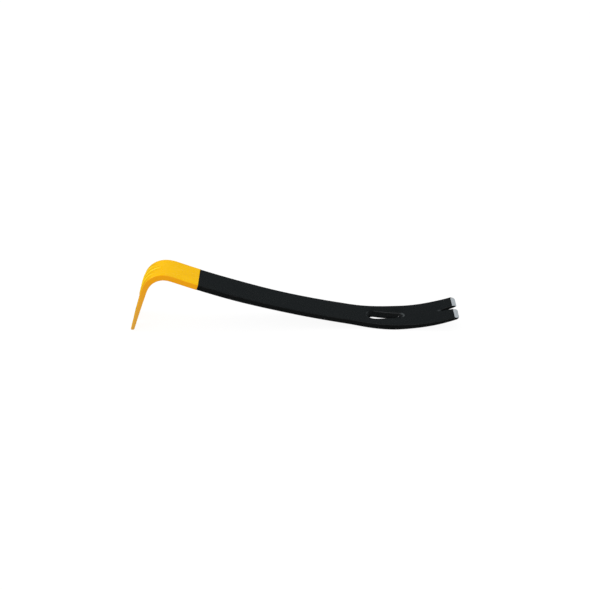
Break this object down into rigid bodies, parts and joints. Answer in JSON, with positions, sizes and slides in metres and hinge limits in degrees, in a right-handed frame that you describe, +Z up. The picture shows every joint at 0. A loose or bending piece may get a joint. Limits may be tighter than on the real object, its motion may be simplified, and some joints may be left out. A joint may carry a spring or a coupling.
{
  "type": "flat pry bar",
  "caption": "Flat utility pry bar: notched hook with a ribbed heel, long curved shank, teardrop nail slot and flared notched claw, black lacquer with a yellow dipped hook.",
  "frame": {"origin": "middle of the bar's box, on the surface it stands on", "axes": "+X along the bar from the hook to the claw, +Y across its width, +Z up"},
  "size_m": [0.3248, 0.0444, 0.0598],
  "materials": {
    "steel": "forged steel, bare and ground bright on the bevelled tips",
    "black_lacquer": "semi-gloss black lacquer",
    "yellow_dip": "glossy thick yellow enamel"
  },
  "bodies": {
    "root": {"steel_bar": "steel", "black_coat": "black_lacquer", "yellow_coat": "yellow_dip"}
  },
  "joints": []
}
